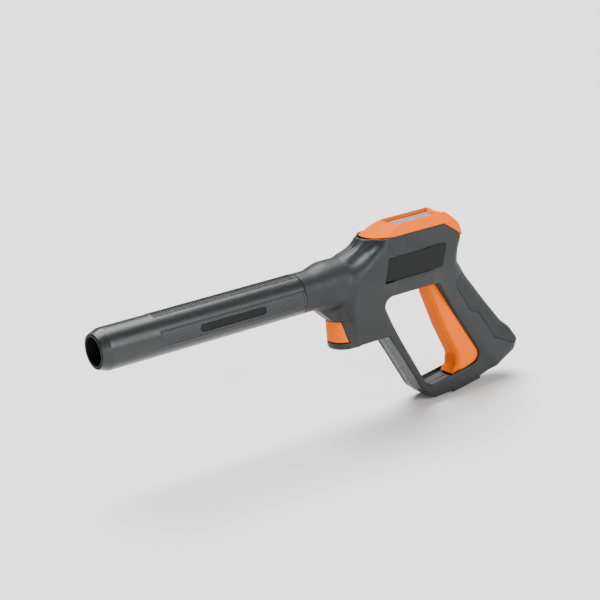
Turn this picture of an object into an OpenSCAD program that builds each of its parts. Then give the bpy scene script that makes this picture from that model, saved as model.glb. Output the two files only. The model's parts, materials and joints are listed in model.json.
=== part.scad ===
// Trigger spray gun for a pressure washer.
// Origin: centre of the lance socket's mouth on the muzzle. +X is the spray direction,
// +Y is the gun's left side, +Z is up. The gun is symmetric about the XZ plane.

/* [Barrel] */
// Outer radius of the barrel sleeve
barrel_r = 19; // [18.5:0.1:19.5]
// Length of the barrel sleeve from the muzzle to the housing
barrel_len = 207; // [205:1:209]
// Depth of the bevel that leads from the mouth to the full radius
muzzle_bevel = 9; // [6:1:12]
// Radius of the lance socket's bore
socket_r = 13; // [12.5:0.1:13.3]
// Depth of the lance socket's bore
socket_depth = 42; // [36:1:46]

/* [Housing] */
// Half width of the housing at its widest
body_half = 25; // [24.6:0.1:25.4]
// Half width of the guard that closes the finger loop
guard_half = 14.5; // [14:0.1:15.5]
// Half width of the handgrip
grip_half = 16.5; // [16:0.1:17.5]
// Radius of the collar that holds the barrel
collar_r = 23.3; // [23:0.1:23.6]
// Radius of the boss around the hose socket
boss_r = 16; // [15.8:0.1:16.4]
// Thickness of the moulded walls
wall = 2.4; // [2:0.1:2.8]
// Height of the joint between the housing and its top cover
cover_z = 35.6; // [35:0.1:36]

/* [Trigger] */
// Half width of the trigger
trigger_half = 12; // [11.5:0.1:12.2]

/* [Water path] */
// Distance behind the muzzle of the hose socket's vertical axis
hose_x = 257; // [256:0.5:258]
// Radius of the hose socket's bore
hose_r = 7.6; // [7:0.1:8]
// Travel of the hose release button
button_travel = 3; // [2:0.5:3]

/* [Hidden] */

charcoal = [0.27, 0.28, 0.29];
inlay_grey = [0.2, 0.2, 0.21];
orange = [1, 0.48, 0.16];
brass = [0.8, 0.66, 0.36];
steel = [0.72, 0.73, 0.75];
rubber_black = [0.09, 0.09, 0.1];
board_green = [0.1, 0.35, 0.2];

fine = 96; // facets of a full circle where the tools need them
far = 300; // longer than any side of the gun
play = 0.05; // radial clearance of a running fit
body_half_top = 22; // half width of the body under the top cover

// ---- outlines -------------------------------------------------------------

function unit(v) = v / norm(v);
function left_normal(a, b) = let (d = unit(b - a)) [-d[1], d[0]];
function xz(p) = [p[0], p[1]];
function at(path, i) = path[(i + len(path)) % len(path)];

// Points of an arc of radius r that rounds the corner p between the points a and b.
function corner_arc(p, a, b, r, steps = 5) =
    let (
        u = unit(a - p),
        v = unit(b - p),
        half = acos(u * v) / 2,
        c = p + unit(u + v) * r / sin(half),
        s = p + u * r / tan(half) - c,
        e = p + v * r / tan(half) - c,
        a0 = atan2(s[1], s[0]),
        turn = (atan2(e[1], e[0]) - a0 + 540) % 360 - 180
    )
    [for (i = [0:steps]) c + r * [cos(a0 + turn * i / steps), sin(a0 + turn * i / steps)]];

// A closed outline from corners [x, z, rounding radius], anticlockwise.
function outline(path) = [
    for (i = [0:len(path) - 1])
        let (p = path[i])
        each p[2] == 0
            ? [xz(p)]
            : corner_arc(xz(p), xz(at(path, i - 1)), xz(at(path, i + 1)), p[2])
];

// The same corners, each edge moved inwards by d.
function inset(path, d) = [
    for (i = [0:len(path) - 1])
        let (
            a = xz(at(path, i - 1)),
            p = xz(path[i]),
            b = xz(at(path, i + 1)),
            n = left_normal(a, p),
            m = left_normal(p, b),
            q = p + (n + m) * d / (1 + n * m),
            bend = (p - a)[0] * (b - p)[1] - (p - a)[1] * (b - p)[0],
            r = path[i][2] == 0 ? 0 : max(0.1, path[i][2] - sign(bend) * d)
        )
        [q[0], q[1], r]
];

// A symmetric [y, z] outline from half widths [half, z], listed from the bottom up.
function section(rows, d = 0) = concat(
    [for (r = rows) [r[0] - d, r[1]]],
    [for (i = [len(rows) - 1:-1:0]) [d - rows[i][0], rows[i][1]]]
);

// ---- basic solids ---------------------------------------------------------

// A plate with an outline in the XZ plane, between two values of y.
module plate(path, y0, y1) {
    translate([0, y1, 0]) rotate([90, 0, 0]) linear_extrude(y1 - y0) polygon(outline(path));
}

// The same plate, centred on the gun's middle plane.
module slab(path, half) {
    plate(path, -half, half);
}

// A bar with an outline in the YZ plane, between two values of x.
module bar(points, x0, x1) {
    translate([x0, 0, 0]) rotate([90, 0, 90]) linear_extrude(x1 - x0) polygon(points);
}

// A solid of revolution about the barrel's axis, from [x, radius] points.
module turned(points) {
    rotate([0, 90, 0]) rotate_extrude($fn = fine) polygon([for (p = points) [p[1], p[0]]]);
}

// A solid of revolution about the hose socket's axis, from [z, radius] points.
module hose_turned(points) {
    translate([-hose_x, 0, 0]) rotate_extrude($fn = fine)
        polygon([for (p = points) [p[1], p[0]]]);
}

module x_tube(x0, x1, r_out, r_in) {
    turned([[x0, r_in], [x1, r_in], [x1, r_out], [x0, r_out]]);
}

module x_rod(x0, x1, r) {
    translate([x0, 0, 0]) rotate([0, 90, 0]) cylinder(r = r, h = x1 - x0, $fn = fine);
}

module z_rod(x, z0, z1, r) {
    translate([x, 0, z0]) cylinder(r = r, h = z1 - z0, $fn = fine);
}

module y_rod(x, z, y0, y1, r) {
    translate([x, y1, z]) rotate([90, 0, 0]) cylinder(r = r, h = y1 - y0, $fn = fine);
}

// A box between two opposite corners.
module block(low, high) {
    translate(low) cube(high - low);
}

// An O-ring: centre radius, then wire radius.
module ring(centre_r, wire_r) {
    rotate_extrude($fn = fine) translate([centre_r, 0]) circle(wire_r, $fn = 32);
}

// A compression spring along +X that starts at x0 on the height z.
module coil(x0, z, length, r, wire_r, turns, sides = 6, steps = 14) {
    count = turns * steps;
    lead = length - 2 * wire_r;
    centres = [
        for (i = [0:count])
            [x0 + wire_r + lead * i / count, r * cos(360 * i / steps), z + r * sin(360 * i / steps)]
    ];
    points = [
        for (i = [0:count])
            let (a = 360 * i / steps)
            for (k = [0:sides - 1])
                let (b = 360 * k / sides)
                centres[i] + wire_r * [sin(b), cos(b) * cos(a), cos(b) * sin(a)]
    ];
    walls = [
        for (i = [0:count - 1])
            for (k = [0:sides - 1])
                let (p = i * sides + k, q = i * sides + (k + 1) % sides)
                each [[p, p + sides, q + sides], [p, q + sides, q]]
    ];
    first = [for (k = [0:sides - 1]) k];
    last = [for (k = [sides - 1:-1:0]) count * sides + k];
    polyhedron(points, concat(walls, [first, last]), convexity = 10);
}

module left_half() {
    intersection() {
        children();
        block([-far * 2, 0, -far], [far, far, far]);
    }
}

module right_half() {
    intersection() {
        children();
        block([-far * 2, -far, -far], [far, 0, far]);
    }
}

// ---- main form ------------------------------------------------------------

// Side view of everything behind the collar.
shell_path = [
    [-257, -61.5, 0], [-257, 20, 0], [-266, 23.4, 0], [-285, 34.6, 0], [-289, cover_z, 0],
    [-365, cover_z, 0], [-384.5, 21.2, 0], [-387.5, 17.5, 1.5], [-384, 8, 0],
    [-382.5, -4, 10], [-392, -19, 20], [-438, -80, 0], [-450, -90, 0], [-457, -103, 4],
    [-448, -111.5, 6], [-427, -122.8, 0], [-405, -129.2, 0], [-368, -134.6, 0],
    [-350, -135, 14], [-334, -125, 12], [-324.5, -110, 0], [-298, -61.5, 0]
];

// Opening for the fingers and the trigger.
loop_path = [
    [-409.4, -111.9, 9], [-341, -122.5, 10], [-288.3, -21, 8], [-354.9, -21, 6]
];

// Half widths of the housing, from the bottom up.
body_rows = [
    [guard_half, -137], [guard_half, -66], [16, -50], [22, -21], [body_half - 0.5, -5],
    [body_half, 5], [body_half_top, cover_z]
];

// Side view of the handgrip, and its half widths.
grip_path = [
    [-427, -122.8, 0], [-404, -129.5, 0], [-358, -12, 0], [-383, -12, 0], [-392, -19, 20],
    [-438, -80, 0], [-450, -90, 0], [-457, -103, 4], [-448, -111.5, 6]
];
grip_rows = [[grip_half, -137], [grip_half, -55], [20, -21], [22, -6]];
grip_lean = 35.8; // angle between the grip's back and the vertical
grip_back = [-438, -80];
grip_round = 12;
heel_back = -457;
heel_round = 13;
rear_x = -388;
rear_round = 6;
neck_x = -384;
neck_round = 10;

// A plan outline with a rounded back edge at x = 0, towards +x, of a given half width.
function back_outline(half, r, length) = outline([
    [0, -half, r], [length, -half, 0], [length, half, 0], [0, half, r]
]);

module grip(d) {
    intersection() {
        slab(inset(grip_path, d), body_half);
        bar(section(grip_rows, d), -470, -340);
        union() {
            translate([grip_back[0], 0, grip_back[1]]) rotate([0, grip_lean, 0])
                translate([d, 0, -60]) linear_extrude(150)
                    polygon(back_outline(grip_half + 3, grip_round + 3, 90));
            translate([heel_back + d, 0, -140]) linear_extrude(50 - d)
                polygon(back_outline(grip_half, heel_round, 70));
        }
    }
}

module trunk(d) {
    intersection() {
        slab(inset(shell_path, d), body_half);
        bar(section(body_rows, d), -470, -302);
        union() {
            translate([rear_x + d, 0, 14]) linear_extrude(40)
                polygon(back_outline(body_half - d, rear_round, 140));
            translate([neck_x + d, 0, -26]) linear_extrude(41)
                polygon(back_outline(body_half - d, neck_round, 140));
            slab([[-428, -140, 0], [-290, -140, 0], [-290, -25, 0], [-378, -25, 0],
                [-428, -110, 0]], body_half);
        }
    }
}

// Plan of the body's rounded front, on top: half an ellipse.
front_reach = 28;
front_x = -312;
function front_plan(half, reach) = [
    for (a = [-90:10:90]) [front_x + reach * cos(a), half * sin(a)]
];

// Shoulder from the round collar to the full body.
module shoulder(d) {
    low = [[22, -14], [body_half - 0.5, -5], [body_half, 5], [body_half, 6]];
    hull() {
        x_rod(-266, -262 - d, collar_r - d);
        bar(section(low, d), -275, -274);
        bar(section(low, d), front_x + 9, front_x + 10);
        translate([0, 0, cover_z - 1 - d]) linear_extrude(1)
            polygon(front_plan(body_half_top - d, front_reach - d));
    }
}

// Collar, boss of the hose socket, and the front of the body under it.
module nose(d) {
    turned([
        [-264 - d, 0], [-barrel_len, 0], [-barrel_len, barrel_r - d], [-222, barrel_r - d],
        [-237, collar_r - d], [-264 - d, collar_r - d]
    ]);
    z_rod(-hose_x, -61.5 + d, 0, boss_r - d);
    slab(inset([[-257, -35, 0], [-241.5, -34, 0], [-224, -17, 0], [-224, 0, 0],
        [-257, 0, 0]], d), 9.5 - d);
    intersection() {
        slab(inset([[-310, -61.5, 0], [-hose_x, -61.5, 0], [-hose_x, 0, 0], [-310, 0, 0]], d),
            body_half);
        bar(section(body_rows, d), -310, -hose_x);
        union() {
            slab(inset(shell_path, d), body_half);
            block([-300, -boss_r + d, -61.5], [-hose_x, boss_r - d, -15]);
        }
    }
}

// Outer form of the closed housing.
module envelope() {
    difference() {
        union() {
            trunk(0);
            grip(0);
            shoulder(0);
            nose(0);
        }
        slab(loop_path, far);
        guard_channel();
    }
}

// Shallow channel between two rims down the front of the guard.
module guard_channel() {
    slab([[-327, -112.6, 0], [-323, -112, 0], [-296, -62.2, 0], [-299.2, -62.2, 0]],
        guard_half - 1.5);
}

// Hollow inside the housing.
module hollow() {
    difference() {
        union() {
            trunk(wall);
            grip(wall + insert_t);
            shoulder(wall);
            nose(wall);
        }
        slab(inset(loop_path, -wall), far);
    }
}

// ---- housing --------------------------------------------------------------

insert_t = 1.6; // thickness of the rubber on the handgrip
barrel_bore_r = 16.7; // bore that the barrel's spigot enters
collar_bore_r = 16;
guide_bore_r = 9.5; // opening of the boss under the hose's guide
screw_r = 1.5;
screw_depth = 8; // how far the screws reach into the left half
screw_head_r = 3;
screw_head_t = 2.2;
screw_boss_r = 3.8;
screw_seat = 6; // distance of the screws' heads from the joint face
screw_places = [
    [-290, 21.5], [-377, 13], [-288, -42], [-350, -130], [-396, -124.2], [-436, -104],
    [-399, -53]
];
pivot = [-358, -9]; // trigger's pivot, x and z
pivot_r = 2.5;
pivot_half = 19;
pivot_boss_r = 5.5;
boss_inner = 12.4; // distance of the pivot's bosses from the middle plane
boss_outer = 22;
trigger_gap = 0.5;
spring_seat_x = -392;
cradle_x = [-298, -314]; // the two ribs that carry the valve body
cradle_half = 24;

// Side view of the slot that the trigger moves in.
slot_path = [
    [-346, -125.4, 0], [-346, -100, 0], [-366, -60, 0], [-345, -24, 0], [-345, -14, 0],
    [-369, -14, 0], [-386, -40, 0], [-417, -96, 0], [-417, -114.6, 0]
];

// Where the rubber covers the handgrip, in side view.
insert_path = [
    [-446, -104, 0], [-433, -97.5, 4], [-423, -93, 3], [-411.2, -72.3, 0],
    [-404.8, -62.3, 4], [-395.9, -59.3, 4], [-378.3, -31, 5], [-378.3, -24, 4],
    [-384, -19.2, 0], [-398, -10, 0], [-450, -78, 0], [-443, -93, 0]
];

// Dark plate in the side of the body, in side view, and the plane of its pocket.
plate_path = [[-359.5, -5, 1], [-290.5, -5, 1], [-298, 16.5, 1], [-366, 16.5, 1]];
plate_floor = body_half - 2;
plate_t = 0.5;

pad_path = [[-404.9, -131, 0.5], [-370.5, -136, 0.5], [-369.9, -133.3, 0], [-404.3, -128.3, 0]];

// Window of the release button, seen along X: half widths from the bottom up.
window_rows = [[15.5, -54.4], [12.7, -33.8]];

module window(d, x0, x1) {
    bar([
        [window_rows[0][0] - d, window_rows[0][1] + d],
        [window_rows[1][0] - d, window_rows[1][1] - d],
        [d - window_rows[1][0], window_rows[1][1] - d],
        [d - window_rows[0][0], window_rows[0][1] + d]
    ], x0, x1);
}

module housing() {
    difference() {
        union() {
            difference() {
                envelope();
                hollow();
                slab(slot_path, trigger_half + trigger_gap);
            }
            intersection() {
                union() {
                    for (p = screw_places) y_rod(p[0], p[1], -far, far, screw_boss_r);
                    slot_floor();
                    pivot_bosses();
                    ribs();
                }
                envelope();
            }
        }
        x_rod(-238, -200, barrel_bore_r);
        x_rod(-262, -237, collar_bore_r);
        z_rod(-hose_x, -70, -50, guide_bore_r);
        window(0, -258.5, -230);
        y_rod(pivot[0], pivot[1], -pivot_half, pivot_half, pivot_r + 0.02);
        for (p = screw_places) {
            y_rod(p[0], p[1], -far, screw_depth + 1, screw_r + play);
            y_rod(p[0], p[1], -far, -screw_seat, screw_head_r + 0.3);
        }
        block([board_bay[0], -bay_half, cover_z - wall - 1], [board_bay[1], bay_half, cover_z + 1]);
        plate(plate_path, plate_floor, far);
        plate(plate_path, -far, -plate_floor);
        slab(pad_path, guard_half - 1);
        difference() {
            slab(insert_path, far);
            grip(insert_t);
        }
    }
}

// Floor under the trigger's toe, between the guard's rims.
module slot_floor() {
    slab([[-342, -127.6, 0], [-342, -126, 0], [-417, -114.6, 0], [-417, -116.6, 0]],
        guard_half);
}

module pivot_bosses() {
    for (s = [-1, 1])
        y_rod(pivot[0], pivot[1], s > 0 ? boss_inner : -boss_outer,
            s > 0 ? boss_outer : -boss_inner, pivot_boss_r);
}

// Seats of the two inner springs, and the cradle of the valve body.
module ribs() {
    block([spring_seat_x - 2, -15, -46], [spring_seat_x, 15, -30]);
    block([-283, -16, -56], [-281, 16, -44]);
    cradle_r = valve_r + 0.1;
    for (x = cradle_x)
        difference() {
            block([x - 1, -cradle_half, -19.5], [x + 1, cradle_half, 10]);
            x_rod(x - 2, x + 2, cradle_r);
            block([x - 2, -cradle_r, 0], [x + 2, cradle_r, 20]);
        }
}

module housing_left() {
    color(charcoal) left_half() housing();
}

module housing_right() {
    color(charcoal) right_half() housing();
}

module housing_screws() {
    color(steel) for (p = screw_places) {
        y_rod(p[0], p[1], -screw_seat, screw_depth, screw_r);
        difference() {
            y_rod(p[0], p[1], -screw_seat - screw_head_t, -screw_seat, screw_head_r);
            translate([p[0], -screw_seat - 1, p[1]]) rotate([90, 0, 0])
                cylinder(r = 1.4, h = 3, $fn = 6);
        }
    }
}

module side_plate_left() {
    color(inlay_grey) plate(inset(plate_path, 0.1), plate_floor, plate_floor + plate_t);
}

module side_plate_right() {
    color(inlay_grey) plate(inset(plate_path, 0.1), -plate_floor - plate_t, -plate_floor);
}

module grip_insert() {
    color(rubber_black) difference() {
        intersection() {
            grip(0);
            slab(insert_path, far);
        }
        grip(insert_t);
    }
}

module foot_pad() {
    color(rubber_black) slab(inset(pad_path, 0.05), guard_half - 1.05);
}

// ---- top cover and display ------------------------------------------------

cover_path = [
    [-284, cover_z, 0], [-318.6, 43.8, 0], [-374, 43.8, 2], [-380, 38.5, 3],
    [-385.5, 30, 0], [-388, 21.3, 0], [-384.5, 21.2, 0], [-365, cover_z, 0]
];
cover_rows = [[23.5, 20], [body_half_top, cover_z], [14.4, 43.8]];
crown_x = -318.6;
crown_slope = 13.3;
crown_r = 50;
window_x = [-371, -317];
window_half = 12.8;
lens_top = 39.8;
lens_t = 1.15;
panel_t = 0.9;
lens_bay = [-369.8, -318]; // room for the lens and the display, along x
board_bay = [-367, -319]; // room for the circuit board, along x
bay_half = 13.8;
bay_gap = 0.2;
board_z = [34.4, 36];

module top_cover() {
    color(orange) difference() {
        intersection() {
            slab(cover_path, body_half);
            bar(section(cover_rows), -390, -283);
            union() {
                linear_extrude(50) polygon(front_plan(body_half_top, front_reach));
                translate([rear_x, 0, 0]) linear_extrude(50)
                    polygon(back_outline(body_half, 8, front_x - rear_x));
            }
            union() {
                block([-390, -far, 0], [crown_x, far, 60]);
                translate([crown_x - 0.1, 0, 43.8]) rotate([0, 90 + crown_slope, 0])
                    translate([crown_r, 0, 0]) cylinder(r = crown_r, h = 50, $fn = fine);
            }
        }
        block([window_x[0], -window_half, lens_top], [window_x[1], window_half, 50]);
        block([lens_bay[0], -bay_half, 30], [lens_bay[1], bay_half, lens_top]);
        bar([[-9, 40.6], [9, 40.6], [12, 44], [-12, 44]], -395, -370);
    }
}

module display_lens() {
    half = bay_half - bay_gap;
    top = lens_top - play;
    color(steel, 0.5) block(
        [lens_bay[0] + bay_gap, -half, top - lens_t], [lens_bay[1] - bay_gap, half, top]);
}

module display_panel() {
    top = lens_top - play - lens_t - 0.1;
    half = window_half - 0.8;
    color(steel) block(
        [lens_bay[0] + 0.4, -half, top - panel_t], [lens_bay[1] - 0.6, half, top]);
}

module display_board() {
    color(board_green) difference() {
        block([board_bay[0] + 0.4, -13, board_z[0]], [board_bay[1] - 0.4, 13, board_z[1]]);
        for (x = [board_bay[0] + 4, board_bay[1] - 4]) z_rod(x, 34, 36.5, 1.3);
    }
}

module battery_cell() {
    color(steel) z_rod(-343, board_z[0] - 3.4, board_z[0] - 0.2, 10);
}

// ---- barrel ---------------------------------------------------------------

panel_floor = barrel_r - 1.7;
panel_x = [-204.5, -57];
panel_half = 6.5;
inlay_x = [-164, -95];
inlay_half = 4;
rib_pitch = 2.75;
rib_count = 53;
fit = 0.15; // gap round a part that is set into a recess

// The stadium-shaped recess in a side panel, as a bar along Y.
module stadium(d) {
    rotate([90, 0, 0]) translate([0, 0, -far / 2]) linear_extrude(far) {
        translate([inlay_x[0] + inlay_half, d - inlay_half])
            square([inlay_x[1] - inlay_x[0] - 2 * inlay_half, 2 * (inlay_half - d)]);
        for (x = [inlay_x[0] + inlay_half, inlay_x[1] - inlay_half])
            translate([x, 0]) circle(inlay_half - d, $fn = 64);
    }
}

module barrel_sleeve() {
    color(charcoal) difference() {
        turned([
            [-222, 14.6], [-204, 14.6], [-203, 15.6], [-63, 15.6], [-62.6, 15.2],
            [-0.4, 15.2], [-0.4, 15.8], [-muzzle_bevel, barrel_r], [-barrel_len, barrel_r],
            [-barrel_len, 16.6], [-222, 16.6]
        ]);
        intersection() {
            x_tube(panel_x[0], panel_x[1], barrel_r + 2, panel_floor);
            union() {
                block([-far, -far, -panel_half], [0, far, panel_half]);
                block([-far, -panel_half, 0], [0, panel_half, far]);
            }
        }
    }
}

module barrel_panel(side) {
    difference() {
        intersection() {
            x_tube(panel_x[0] + fit, panel_x[1] - fit, barrel_r - 0.2, panel_floor);
            block([-far, side > 0 ? 0 : -far, fit - panel_half],
                [0, side > 0 ? far : 0, panel_half - fit]);
        }
        stadium(0);
    }
}

module barrel_inlay(side) {
    intersection() {
        x_tube(panel_x[0], panel_x[1], panel_floor + 0.6, panel_floor);
        block([-far, side > 0 ? 0 : -far, -panel_half], [0, side > 0 ? far : 0, panel_half]);
        stadium(fit);
    }
}

module barrel_panel_left() {
    color(charcoal) barrel_panel(1);
}

module barrel_panel_right() {
    color(charcoal) barrel_panel(-1);
}

module barrel_inlay_left() {
    color(inlay_grey) barrel_inlay(1);
}

module barrel_inlay_right() {
    color(inlay_grey) barrel_inlay(-1);
}

module barrel_rib_strip() {
    low = barrel_r - 0.6;
    high = barrel_r - 0.05;
    start = panel_x[1] - fit;
    color(charcoal) intersection() {
        turned(concat(
            [[start, panel_floor], [start, low]],
            [for (i = [0:rib_count - 1]) each [
                [start - rib_pitch * i - 0.8, low], [start - rib_pitch * i - 1.2, high],
                [start - rib_pitch * i - 1.9, high], [start - rib_pitch * i - 2.3, low]
            ]],
            [[panel_x[0] + fit, low], [panel_x[0] + fit, panel_floor]]
        ));
        block([-far, fit - panel_half, 0], [0, panel_half - fit, far]);
    }
}

module lance_socket() {
    seat = -socket_depth;
    color(inlay_grey) turned([
        [0, socket_r], [0, 14.3], [-2, 14.3], [-2, 15.1], [-61, 15.1], [-61, 7],
        [seat - 13, 7], [seat - 13, 5], [seat - 10, 5], [seat - 10, 6.2], [seat - 7, 6.2],
        [seat - 7, 8], [seat - 4, 8], [seat - 4, 6.2], [seat, 6.2], [seat, socket_r]
    ]);
}

module lance_seal() {
    color(rubber_black) translate([-socket_depth - 5.5, 0, 0]) rotate([0, 90, 0])
        ring(6.7, 1.2);
}

module outlet_tube() {
    color(brass) x_tube(-240, -socket_depth - 13.2, 6.95, 4.6);
}

module tube_seal() {
    color(rubber_black) translate([-235, 0, 0]) rotate([0, 90, 0]) ring(8.15, 1.15);
}

// ---- valve ----------------------------------------------------------------

valve_r = 14.5;
valve_x = [-318, -232];
chamber_x = [-292, -252];
chamber_r = 6.5;
seat_x = -288;
seat_bore = 3.2;
stem_r = 2;
stem_end = -354.98;
nose_r = 3;

module valve_body() {
    color(brass) difference() {
        union() {
            x_rod(valve_x[0], valve_x[1], valve_r);
            z_rod(-hose_x, -29, 0, 12.5);
        }
        x_rod(-244, -231, 7);
        x_rod(-236.6, -231, 9.4);
        x_rod(-248, -243, 11);
        x_rod(chamber_x[0] - 1, chamber_x[1], chamber_r);
        x_rod(-300, chamber_x[0], 12.5);
        for (s = [-1, 1]) translate([0, s * 10.2, 0]) x_rod(-299, -244, 2);
        x_rod(-305, -299, stem_r + play);
        x_rod(-308, -304, 5);
        x_rod(-319, -308, 8);
        z_rod(-hose_x, -30, 0, 4.5);
        z_rod(-hose_x, -30, -22, 9);
    }
}

module valve_seat() {
    color(steel) x_tube(chamber_x[0], seat_x, chamber_r - play, seat_bore);
}

module valve_stem() {
    color(steel) turned([
        [stem_end, 0], [-277, 0], [-277, 2.2], [-283, 2.2], [-283, 4.6],
        [-286, 5.2], [seat_x + play, 5.2], [seat_x + play, stem_r], [stem_end, stem_r]
    ]);
}

module valve_spring() {
    color(steel) coil(-282.9, 0, 30.7, 3.4, 0.5, 7);
}

module stem_seal() {
    color(rubber_black) translate([-306, 0, 0]) rotate([0, 90, 0]) ring(3.4, 1.25);
}

module gland_nut() {
    color(brass) difference() {
        union() {
            x_rod(-318, -308.1, 7.95);
            translate([-324, 0, 0]) rotate([0, 90, 0]) cylinder(r = 9.5, h = 6, $fn = 6);
        }
        x_rod(-330, -300, stem_r + play);
    }
}

// ---- hose connection ------------------------------------------------------

socket_mouth = -49.5;
socket_floor = -33;
latch_z = [-51.6, -50];

module hose_socket() {
    color(brass) hose_turned([
        [socket_mouth, hose_r], [socket_floor, hose_r], [socket_floor, 5.6], [-30.5, 5.6],
        [-30.5, 7.4], [-27.5, 7.4], [-27.5, 4.5], [-22.1, 4.5], [-22.1, 8.95], [-29.1, 8.95],
        [-29.1, 12.4], [socket_floor, 12.4], [socket_floor, 10.4], [socket_mouth, 10.4]
    ]);
}

module hose_guide() {
    color(inlay_grey) hose_turned([
        [-59, 7.9], [-52, 7.9], [-52, 10.6], [-54.6, 10.6], [-54.6, 12.6], [-59, 12.6]
    ]);
}

module hose_seal() {
    color(rubber_black) translate([-hose_x, 0, -29]) ring(6.25, 1.1);
}

module hose_latch() {
    hole_x = button_travel - hose_x;
    color(steel) difference() {
        intersection() {
            block([-272, -11.4, latch_z[0]], [-240, 11.4, latch_z[1]]);
            union() {
                z_rod(-hose_x, -55, -45, boss_r - 2.2);
                block([-272, -11.4, -55], [-hose_x, 11.4, -45]);
            }
        }
        z_rod(hole_x, -55, -45, hose_r + 0.4);
    }
}

module latch_spring() {
    color(steel) coil(-280.9, -50.8, 8.8, 2.6, 0.4, 4);
}

module release_button() {
    color(orange) difference() {
        intersection() {
            z_rod(-hose_x, -60, -30, boss_r);
            window(0.3, -254, -235);
        }
        z_rod(-hose_x, -61, -29, boss_r - 2.2);
    }
}

// ---- trigger --------------------------------------------------------------

// Side view of the trigger's finger bow and of its toe.
bow_path = [
    [-412, -110.2, 5], [-374.5, -118.2, 0], [-378.6, -110, 0], [-378.6, -103, 8],
    [-365.5, -71.3, 0], [-353.1, -36, 0], [-347.5, -15, 0], [-352, -5, 3], [-364, -5, 3],
    [-367, -16, 0], [-374, -38, 0], [-397, -80, 0], [-412, -98, 0]
];
toe_path = [
    [-395, -115.5, 0], [-374.5, -120.2, 0], [-373.6, -119.2, 0.5], [-378.8, -112, 0],
    [-380.6, -104, 0], [-392, -104, 0]
];
toe_half = 9.5;
bow_front = [-353.1, -36];
bow_lean = 20.6;
bow_round = 8;
bow_t = 2.3;

module bow(d) {
    intersection() {
        slab(d > 0 ? concat(
            [[-440, -101.5, 0], [-405, -109.2, 0]],
            [for (i = [1:7]) inset(bow_path, d)[i]],
            [[-380, 0, 0]]
        ) : bow_path, trigger_half - d);
        translate([bow_front[0], 0, bow_front[1]]) rotate([0, bow_lean, 0])
            translate([-d, 0, -100]) linear_extrude(160) mirror([1, 0])
                polygon(back_outline(trigger_half - d, bow_round - d, 90));
    }
}

module trigger() {
    color(orange) difference() {
        union() {
            difference() {
                bow(0);
                bow(bow_t);
            }
            difference() {
                slab(toe_path, toe_half);
                slab([[-400, -110.5, 0], [-384, -114.5, 0], [-384, -100, 0], [-400, -100, 0]],
                    toe_half - bow_t);
            }
            y_rod(pivot[0], pivot[1], -11.8, 11.8, 5.5);
            y_rod(pivot[0], 0, -4, 4, nose_r);
            block([pivot[0] - nose_r, -4, pivot[1]], [pivot[0] + nose_r, 4, 0]);
        }
        y_rod(pivot[0], pivot[1], -20, 20, pivot_r + play);
    }
}

module trigger_pin() {
    color(steel) y_rod(pivot[0], pivot[1], -pivot_half + 0.1, pivot_half - 0.1, pivot_r);
}

// Its length is the one that it has with the trigger pulled.
module trigger_spring() {
    color(steel) coil(spring_seat_x + 0.1, -38, 27.8, 4, 0.5, 8);
}

// ---- nodes ----------------------------------------------------------------

barrel_sleeve();
barrel_panel_left();
barrel_panel_right();
barrel_inlay_left();
barrel_inlay_right();
barrel_rib_strip();
lance_socket();
lance_seal();
outlet_tube();
tube_seal();
housing_left();
housing_right();
housing_screws();
top_cover();
display_lens();
display_panel();
display_board();
battery_cell();
side_plate_left();
side_plate_right();
grip_insert();
foot_pad();
valve_body();
valve_seat();
valve_stem();
valve_spring();
stem_seal();
gland_nut();
hose_socket();
hose_guide();
hose_seal();
hose_latch();
latch_spring();
release_button();
trigger();
trigger_pin();
trigger_spring();
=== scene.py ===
"""A trigger spray gun: smooth mouldings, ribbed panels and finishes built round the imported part."""

import json
import math

import bpy
import numpy as np
from mathutils import Matrix, Vector


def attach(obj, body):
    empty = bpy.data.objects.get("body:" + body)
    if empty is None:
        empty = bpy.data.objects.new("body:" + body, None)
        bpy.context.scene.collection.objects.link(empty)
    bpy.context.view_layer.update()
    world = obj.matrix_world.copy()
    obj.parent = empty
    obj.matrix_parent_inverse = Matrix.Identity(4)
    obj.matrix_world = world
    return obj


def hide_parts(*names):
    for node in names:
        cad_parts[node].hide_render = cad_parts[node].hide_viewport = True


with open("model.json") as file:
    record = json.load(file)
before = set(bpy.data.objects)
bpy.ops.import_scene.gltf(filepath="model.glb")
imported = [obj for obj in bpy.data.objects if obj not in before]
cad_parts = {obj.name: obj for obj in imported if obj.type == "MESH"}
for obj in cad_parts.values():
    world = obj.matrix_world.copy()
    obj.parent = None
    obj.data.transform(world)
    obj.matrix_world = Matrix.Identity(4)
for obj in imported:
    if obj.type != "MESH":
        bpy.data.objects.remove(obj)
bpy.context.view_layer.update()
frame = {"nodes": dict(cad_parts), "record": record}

MM = 0.001  # shapes are worked out in millimetres and stored in metres
COARSE = 1


# ---- signed distances, in millimetres, negative inside ----------------------

def outline(corners, steps=4):
    """A closed outline from corners (x, z, rounding radius), as (x, z) points."""
    points = []
    for i, (x, z, r) in enumerate(corners):
        if r == 0:
            points.append((x, z))
            continue
        p = np.array((x, z))
        u = np.array(corners[i - 1][:2], float) - p
        v = np.array(corners[(i + 1) % len(corners)][:2], float) - p
        u /= np.hypot(*u)
        v /= np.hypot(*v)
        half = math.acos(float(np.clip(u @ v, -1, 1))) / 2
        middle = p + (u + v) / np.hypot(*(u + v)) * r / math.sin(half)
        arm = p + u * r / math.tan(half) - middle
        end = p + v * r / math.tan(half) - middle
        start = math.atan2(arm[1], arm[0])
        turn = (math.atan2(end[1], end[0]) - start + 3 * math.pi) % (2 * math.pi) - math.pi
        for k in range(steps + 1):
            a = start + turn * k / steps
            points.append((float(middle[0] + r * math.cos(a)), float(middle[1] + r * math.sin(a))))
    return points


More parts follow.
